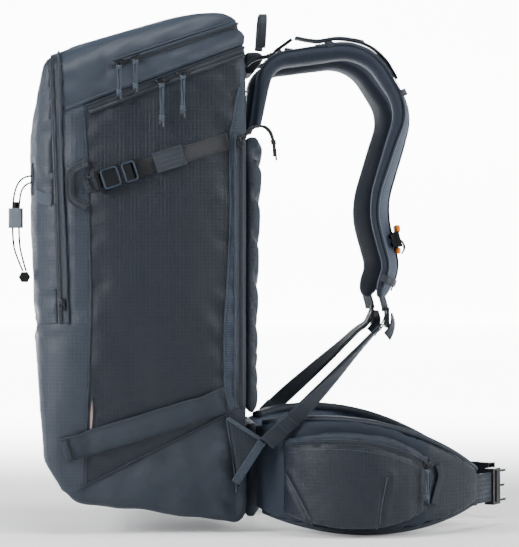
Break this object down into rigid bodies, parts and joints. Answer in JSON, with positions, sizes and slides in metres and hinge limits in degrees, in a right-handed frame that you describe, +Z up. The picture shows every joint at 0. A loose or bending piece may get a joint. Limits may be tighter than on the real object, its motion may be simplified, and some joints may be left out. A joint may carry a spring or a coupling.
{
  "type": "ski backpack",
  "caption": "Zipped ski touring backpack with curved lid, front pocket flap, side straps, padded shoulder straps and hip belt with pocket.",
  "frame": {"origin": "on the face of the back panel that touches the wearer, half way up it, on the bag's middle plane", "axes": "+X from the bag to the wearer, +Y to the wearer's left, +Z up"},
  "size_m": [0.6351, 0.3676, 0.6512],
  "materials": {
    "side_ripstop": "ripstop weave, matt",
    "lid_twill": "twill weave, matt",
    "foam_mesh": "foam under knitted mesh",
    "webbing": "woven tape",
    "grey_webbing": "woven tape",
    "zip_tape": "coated tape",
    "buckle_plastic": "satin moulded plastic",
    "frame_plastic": "extruded sheet",
    "stay_aluminium": "brushed",
    "slider_metal": "lacquered",
    "pull_cord": "braided",
    "helmet_cord": "braided elastic",
    "lock_silver": "silver",
    "black_rubber": "matt"
  },
  "bodies": {
    "bag": {"main_bag": "side_ripstop", "frame_sheet": "frame_plastic", "frame_stays": "stay_aluminium", "back_panel_pad": "foam_mesh", "lumbar_pad": "foam_mesh", "yoke_panel": "lid_twill", "main_zip": "zip_tape", "front_zip": "zip_tape", "back_zip": "zip_tape", "carry_loops": "webbing", "compression_straps": "grey_webbing", "hip_gussets": "side_ripstop", "anchor_webbing": "webbing", "strap_roots": "foam_mesh", "compression_buckle_female_right": "buckle_plastic", "compression_buckle_female_left": "buckle_plastic"},
    "lid": {"lid": "lid_twill", "lid_pocket_zip": "zip_tape"},
    "front_flap": {"front_flap": "side_ripstop", "helmet_cord_outer": "helmet_cord", "helmet_cord_inner": "helmet_cord", "cord_toggle": "black_rubber"},
    "cord_lock": {"cord_lock_body": "lock_silver"},
    "cord_lock_button": {"cord_lock_button": "black_rubber"},
    "haul_loop": {"haul_loop": "webbing"},
    "lid_pocket_slider_front": {"lid_pocket_slider_front": "slider_metal"},
    "lid_pocket_slider_rear": {"lid_pocket_slider_rear": "slider_metal"},
    "main_zip_slider_front": {"main_zip_slider_front": "slider_metal"},
    "main_zip_slider_rear": {"main_zip_slider_rear": "slider_metal"},
    "front_zip_slider": {"front_zip_slider": "slider_metal"},
    "back_zip_slider": {"back_zip_slider": "slider_metal"},
    "belt_pocket_slider": {"belt_pocket_slider": "slider_metal"},
    "lid_pocket_pull_front": {"lid_pocket_pull_front": "pull_cord"},
    "lid_pocket_pull_rear": {"lid_pocket_pull_rear": "pull_cord"},
    "main_zip_pull_front": {"main_zip_pull_front": "pull_cord"},
    "main_zip_pull_rear": {"main_zip_pull_rear": "pull_cord"},
    "back_zip_pull": {"back_zip_pull": "pull_cord"},
    "belt_pocket_pull": {"belt_pocket_pull": "pull_cord"},
    "shoulder_strap_right": {"shoulder_strap_right": "foam_mesh", "load_lifter_strap_right": "webbing"},
    "load_lifter_lock_right": {"load_lifter_lock_right": "buckle_plastic"},
    "ladder_lock_right": {"ladder_lock_right": "buckle_plastic"},
    "sternum_right": {"sternum_slider_right": "buckle_plastic", "sternum_buckle_male": "buckle_plastic"},
    "belt_wing_right": {"belt_wing_right": "foam_mesh", "belt_webbing_right": "webbing", "belt_pocket": "side_ripstop", "belt_pocket_zip": "zip_tape"},
    "hip_buckle_male": {"hip_buckle_male": "buckle_plastic"},
    "compression_buckle_male_right": {"compression_buckle_male_right": "buckle_plastic"},
    "shoulder_strap_left": {"shoulder_strap_left": "foam_mesh", "load_lifter_strap_left": "webbing"},
    "load_lifter_lock_left": {"load_lifter_lock_left": "buckle_plastic"},
    "ladder_lock_left": {"ladder_lock_left": "buckle_plastic"},
    "sternum_left": {"sternum_slider_left": "buckle_plastic", "sternum_buckle_female": "buckle_plastic"},
    "belt_wing_left": {"belt_wing_left": "foam_mesh", "belt_webbing_left": "webbing"},
    "hip_buckle_female": {"hip_buckle_female": "buckle_plastic"},
    "compression_buckle_male_left": {"compression_buckle_male_left": "buckle_plastic"}
  },
  "joints": [
    {"name": "lid_opening", "type": "hinge", "parent": "bag", "child": "lid", "pos_m": [-0.2415, 0, 0.2948], "axis": [0, -1, 0], "range_deg": [0, 110]},
    {"name": "front_flap_opening", "type": "hinge", "parent": "bag", "child": "front_flap", "pos_m": [-0.2745, 0, -0.052], "axis": [0, -1, 0], "range_deg": [0, 75]},
    {"name": "cord_lock_travel", "type": "slide", "parent": "front_flap", "child": "cord_lock", "axis": [0, 0, 1], "range_m": [-0.015, 0]},
    {"name": "cord_lock_press", "type": "slide", "parent": "cord_lock", "child": "cord_lock_button", "axis": [0, 0, 1], "range_m": [-0.004, 0], "stiffness_N_per_m": 300},
    {"name": "haul_loop_fold", "type": "hinge", "parent": "bag", "child": "haul_loop", "pos_m": [0.012, 0, 0.2905], "axis": [0, 1, 0], "range_deg": [-15, 60], "stiffness_Nm_per_rad": 0.05},
    {"name": "lid_pocket_run_front", "type": "slide", "parent": "lid", "child": "lid_pocket_slider_front", "axis": [0.9478, 0.0017, 0.3189], "range_m": [-0.005, 0.005]},
    {"name": "lid_pocket_run_rear", "type": "slide", "parent": "lid", "child": "lid_pocket_slider_rear", "axis": [0.9478, 0.0017, 0.3189], "range_m": [0, 0.02]},
    {"name": "main_zip_run_front", "type": "slide", "parent": "bag", "child": "main_zip_slider_front", "axis": [0.9337, 0.0044, 0.3581], "range_m": [-0.015, 0]},
    {"name": "main_zip_run_rear", "type": "slide", "parent": "bag", "child": "main_zip_slider_rear", "axis": [0.9337, 0.0044, 0.3581], "range_m": [0, 0.04]},
    {"name": "front_zip_run", "type": "slide", "parent": "bag", "child": "front_zip_slider", "axis": [-0.0299, 0.0122, 0.9995], "range_m": [0, 0.06]},
    {"name": "back_zip_run", "type": "slide", "parent": "bag", "child": "back_zip_slider", "axis": [0, 0, 1], "range_m": [-0.02, 0]},
    {"name": "belt_pocket_run", "type": "slide", "parent": "belt_wing_right", "child": "belt_pocket_slider", "axis": [0.6245, 0.6074, -0.491], "range_m": [-0.006, 0]},
    {"name": "lid_pocket_swing_front", "type": "hinge", "parent": "lid_pocket_slider_front", "child": "lid_pocket_pull_front", "pos_m": [-0.171, -0.147, 0.2647], "axis": [0, 1, 0], "range_deg": [-5, 30]},
    {"name": "lid_pocket_swing_rear", "type": "hinge", "parent": "lid_pocket_slider_rear", "child": "lid_pocket_pull_rear", "pos_m": [-0.151, -0.147, 0.2715], "axis": [0, 1, 0], "range_deg": [-12, 5]},
    {"name": "main_zip_swing_front", "type": "hinge", "parent": "main_zip_slider_front", "child": "main_zip_pull_front", "pos_m": [-0.119, -0.15, 0.243], "axis": [0, 1, 0], "range_deg": [-5, 35]},
    {"name": "main_zip_swing_rear", "type": "hinge", "parent": "main_zip_slider_rear", "child": "main_zip_pull_rear", "pos_m": [-0.093, -0.15, 0.253], "axis": [0, 1, 0], "range_deg": [-35, 5]},
    {"name": "back_zip_swing", "type": "hinge", "parent": "back_zip_slider", "child": "back_zip_pull", "pos_m": [-0.02, -0.141, 0.174], "axis": [0, 1, 0], "range_deg": [-10, 10]},
    {"name": "belt_pocket_swing", "type": "hinge", "parent": "belt_pocket_slider", "child": "belt_pocket_pull", "pos_m": [0.204, -0.179, -0.23], "axis": [0, 1, 0], "range_deg": [-20, 8]},
    {"name": "shoulder_strap_fold_right", "type": "hinge", "parent": "bag", "child": "shoulder_strap_right", "pos_m": [0.044, -0.084, 0.292], "axis": [0, -1, 0], "range_deg": [0, 25]},
    {"name": "load_lifter_lock_tilt_right", "type": "hinge", "parent": "bag", "child": "load_lifter_lock_right", "pos_m": [0.0245, -0.084, 0.2874], "axis": [0, -1, 0], "range_deg": [0, 25]},
    {"name": "ladder_lock_tilt_right", "type": "hinge", "parent": "shoulder_strap_right", "child": "ladder_lock_right", "pos_m": [0.166, -0.084, -0.036], "axis": [0, 1, 0], "range_deg": [-25, 20]},
    {"name": "sternum_slide_right", "type": "slide", "parent": "shoulder_strap_right", "child": "sternum_right", "axis": [0.2487, 0, -0.9686], "range_m": [-0.012, 0.03]},
    {"name": "belt_wing_fold_right", "type": "hinge", "parent": "bag", "child": "belt_wing_right", "pos_m": [0.002, -0.084, -0.24], "axis": [0, 0, 1], "range_deg": [0, 4.5], "stiffness_Nm_per_rad": 0.6},
    {"name": "hip_buckle_swing_right", "type": "hinge", "parent": "belt_wing_right", "child": "hip_buckle_male", "pos_m": [0.2992, -0.0617, -0.262], "axis": [0, 0, 1], "range_deg": [-15, 15]},
    {"name": "compression_buckle_pull_right", "type": "slide", "parent": "bag", "child": "compression_buckle_male_right", "axis": [0.9527, 0.0008, 0.304], "range_m": [0, 0.013]},
    {"name": "shoulder_strap_fold_left", "type": "hinge", "parent": "bag", "child": "shoulder_strap_left", "pos_m": [0.044, 0.084, 0.292], "axis": [0, -1, 0], "range_deg": [0, 25]},
    {"name": "load_lifter_lock_tilt_left", "type": "hinge", "parent": "bag", "child": "load_lifter_lock_left", "pos_m": [0.0245, 0.084, 0.2874], "axis": [0, -1, 0], "range_deg": [0, 25]},
    {"name": "ladder_lock_tilt_left", "type": "hinge", "parent": "shoulder_strap_left", "child": "ladder_lock_left", "pos_m": [0.166, 0.084, -0.036], "axis": [0, 1, 0], "range_deg": [-25, 20]},
    {"name": "sternum_slide_left", "type": "slide", "parent": "shoulder_strap_left", "child": "sternum_left", "axis": [0.2487, 0, -0.9686], "range_m": [-0.012, 0.03]},
    {"name": "belt_wing_fold_left", "type": "hinge", "parent": "bag", "child": "belt_wing_left", "pos_m": [0.002, 0.084, -0.24], "axis": [0, 0, -1], "range_deg": [0, 4.5], "stiffness_Nm_per_rad": 0.6},
    {"name": "hip_buckle_swing_left", "type": "hinge", "parent": "belt_wing_left", "child": "hip_buckle_female", "pos_m": [0.2992, 0.0617, -0.262], "axis": [0, 0, -1], "range_deg": [-15, 15]},
    {"name": "compression_buckle_pull_left", "type": "slide", "parent": "bag", "child": "compression_buckle_male_left", "axis": [0.9527, -0.0008, 0.304], "range_m": [0, 0.013]}
  ]
}
